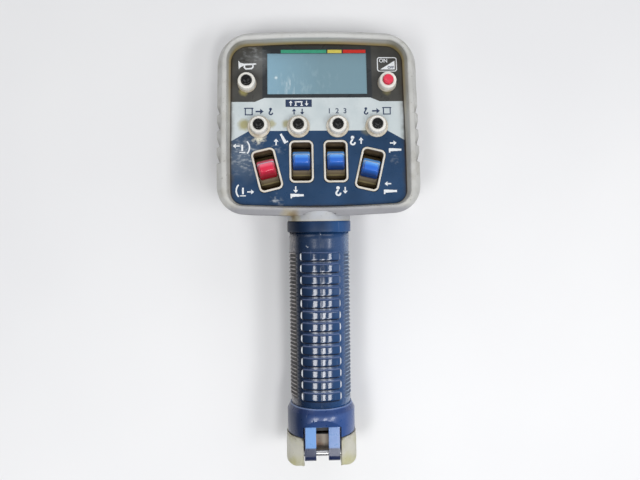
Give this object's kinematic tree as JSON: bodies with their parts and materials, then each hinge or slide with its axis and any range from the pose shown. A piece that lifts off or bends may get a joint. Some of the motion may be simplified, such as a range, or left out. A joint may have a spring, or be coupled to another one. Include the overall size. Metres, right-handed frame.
{
  "type": "crane radio remote control",
  "caption": "One-hand radio remote for a crane: square bumper-edged control head with display, push-buttons and spring-centred levers on a round battery handle with a hinged end cap.",
  "frame": {"origin": "on the flat back of the head, under the middle of the head", "axes": "+X to the right of the panel, +Y from the handle to the head, +Z out of the panel side; the part lies on its back"},
  "size_m": [0.1234, 0.2686, 0.0492],
  "materials": {
    "bumper": "soft-touch moulded elastomer, light warm grey, lightly soiled",
    "front_case": "fine moulded texture",
    "rear_cover": "fine moulded texture",
    "case_gasket": "black seal rubber",
    "cap_seal": "black seal rubber",
    "case_screws": "zinc-plated",
    "board_screws": "zinc-plated",
    "face_plate": "printed film with dark grey, light grey and navy zones",
    "display_window": "clear window",
    "display_module": "reflective liquid crystal, blank",
    "control_board": "green solder mask",
    "button_switches": "black moulded plastic",
    "lever_switches": "black moulded plastic",
    "trigger_sensor": "black moulded plastic",
    "buzzer": "black moulded plastic",
    "radio_module": "shield can",
    "antenna": "bare wire",
    "wiring": "insulated lead",
    "horn_collar": "off-white silicone rubber, slightly yellowed",
    "power_collar": "off-white silicone rubber, slightly yellowed",
    "hook_out_collar": "off-white silicone rubber, slightly yellowed",
    "jack_collar": "off-white silicone rubber, slightly yellowed",
    "mode_collar": "off-white silicone rubber, slightly yellowed",
    "hook_stow_collar": "off-white silicone rubber, slightly yellowed",
    "horn_button": "glossy black cap",
    "power_button": "glossy red cap",
    "hook_out_button": "glossy black cap",
    "jack_button": "glossy black cap",
    "mode_button": "glossy black cap",
    "hook_stow_button": "glossy black cap",
    "swing_lever": "glossy red paddle",
    "boom_lever": "glossy blue paddle",
    "hook_lever": "glossy blue paddle",
    "telescope_lever": "glossy blue paddle",
    "swing_drum": "dark olive-brown skirt",
    "boom_drum": "dark olive-brown skirt",
    "hook_drum": "dark olive-brown skirt",
    "telescope_drum": "dark olive-brown skirt",
    "swing_bezel": "off-white rim",
    "boom_bezel": "off-white rim",
    "hook_bezel": "off-white rim",
    "telescope_bezel": "off-white rim",
    "lever_housings": "black moulded plastic",
    "battery_holder": "black moulded plastic",
    "lever_pins": "ground steel pin",
    "trigger_pin": "ground steel pin",
    "hinge_pin": "ground steel pin",
    "trigger_spring": "spring wire",
    "neck_sleeve": "light grey moulded plastic",
    "neck_nut": "turned ring nut",
    "handle_collar": "glossy navy blue plastic",
    "handle_grip": "glossy navy blue plastic",
    "end_collar": "glossy navy blue plastic",
    "speed_trigger": "glossy navy blue plastic",
    "battery_cells": "sleeved dry cell",
    "battery_contacts": "plated contact",
    "cap_contact": "plated contact",
    "battery_cap": "off-white elastomer, yellowed",
    "cap_liner": "grey moulded plastic"
  },
  "bodies": {
    "housing": {"bumper": "bumper", "front_case": "front_case", "rear_cover": "rear_cover", "case_gasket": "case_gasket", "case_screws": "case_screws", "board_screws": "board_screws", "face_plate": "face_plate", "display_window": "display_window", "display_module": "display_module", "control_board": "control_board", "button_switches": "button_switches", "lever_switches": "lever_switches", "trigger_sensor": "trigger_sensor", "buzzer": "buzzer", "radio_module": "radio_module", "antenna": "antenna", "wiring": "wiring", "horn_collar": "horn_collar", "power_collar": "power_collar", "hook_out_collar": "hook_out_collar", "jack_collar": "jack_collar", "mode_collar": "mode_collar", "hook_stow_collar": "hook_stow_collar", "swing_bezel": "swing_bezel", "boom_bezel": "boom_bezel", "hook_bezel": "hook_bezel", "telescope_bezel": "telescope_bezel", "lever_housings": "lever_housings", "battery_holder": "battery_holder", "lever_pins": "lever_pins", "trigger_pin": "trigger_pin", "hinge_pin": "hinge_pin", "trigger_spring": "trigger_spring", "neck_sleeve": "neck_sleeve", "neck_nut": "neck_nut", "handle_collar": "handle_collar", "handle_grip": "handle_grip", "end_collar": "end_collar", "battery_cells": "battery_cells", "battery_contacts": "battery_contacts"},
    "horn_button": {"horn_button": "horn_button"},
    "power_button": {"power_button": "power_button"},
    "hook_out_button": {"hook_out_button": "hook_out_button"},
    "jack_button": {"jack_button": "jack_button"},
    "mode_button": {"mode_button": "mode_button"},
    "hook_stow_button": {"hook_stow_button": "hook_stow_button"},
    "swing_lever": {"swing_lever": "swing_lever", "swing_drum": "swing_drum"},
    "boom_lever": {"boom_lever": "boom_lever", "boom_drum": "boom_drum"},
    "hook_lever": {"hook_lever": "hook_lever", "hook_drum": "hook_drum"},
    "telescope_lever": {"telescope_lever": "telescope_lever", "telescope_drum": "telescope_drum"},
    "speed_trigger": {"speed_trigger": "speed_trigger"},
    "battery_cap": {"battery_cap": "battery_cap", "cap_liner": "cap_liner", "cap_seal": "cap_seal", "cap_contact": "cap_contact"}
  },
  "joints": [
    {"name": "horn_press", "type": "slide", "parent": "housing", "child": "horn_button", "axis": [0, -0.1736, -0.9848], "range_m": [0, 0.0015], "stiffness_N_per_m": 500},
    {"name": "power_press", "type": "slide", "parent": "housing", "child": "power_button", "axis": [0, -0.1736, -0.9848], "range_m": [0, 0.0015], "stiffness_N_per_m": 500},
    {"name": "hook_out_press", "type": "slide", "parent": "housing", "child": "hook_out_button", "axis": [0, -0.1736, -0.9848], "range_m": [0, 0.0015], "stiffness_N_per_m": 500},
    {"name": "jack_press", "type": "slide", "parent": "housing", "child": "jack_button", "axis": [0, -0.1736, -0.9848], "range_m": [0, 0.0015], "stiffness_N_per_m": 500},
    {"name": "mode_press", "type": "slide", "parent": "housing", "child": "mode_button", "axis": [0, -0.1736, -0.9848], "range_m": [0, 0.0015], "stiffness_N_per_m": 500},
    {"name": "hook_stow_press", "type": "slide", "parent": "housing", "child": "hook_stow_button", "axis": [0, -0.1736, -0.9848], "range_m": [0, 0.0015], "stiffness_N_per_m": 500},
    {"name": "swing_tilt", "type": "hinge", "parent": "housing", "child": "swing_lever", "pos_m": [-0.0314, -0.03177, 0.0261], "axis": [0.9724, 0.2299, -0.0405], "range_deg": [-18, 18], "stiffness_Nm_per_rad": 0.06},
    {"name": "boom_tilt", "type": "hinge", "parent": "housing", "child": "boom_lever", "pos_m": [-0.0105, -0.02674, 0.02522], "axis": [1, 0, 0], "range_deg": [-18, 18], "stiffness_Nm_per_rad": 0.06},
    {"name": "hook_tilt", "type": "hinge", "parent": "housing", "child": "hook_lever", "pos_m": [0.0105, -0.02674, 0.02522], "axis": [1, 0, 0], "range_deg": [-18, 18], "stiffness_Nm_per_rad": 0.06},
    {"name": "telescope_tilt", "type": "hinge", "parent": "housing", "child": "telescope_lever", "pos_m": [0.0314, -0.03177, 0.0261], "axis": [0.9724, -0.2299, 0.0405], "range_deg": [-18, 18], "stiffness_Nm_per_rad": 0.06},
    {"name": "trigger_pull", "type": "hinge", "parent": "housing", "child": "speed_trigger", "pos_m": [0, -0.08075, 0.0135], "axis": [-1, 0, 0], "range_deg": [0, 12], "stiffness_Nm_per_rad": 0.25, "springref_deg": -5.73, "deforming": ["trigger_spring"]},
    {"name": "cap_open", "type": "hinge", "parent": "housing", "child": "battery_cap", "pos_m": [0, -0.20285, 0.0415], "axis": [-1, 0, 0], "range_deg": [0, 110]}
  ]
}
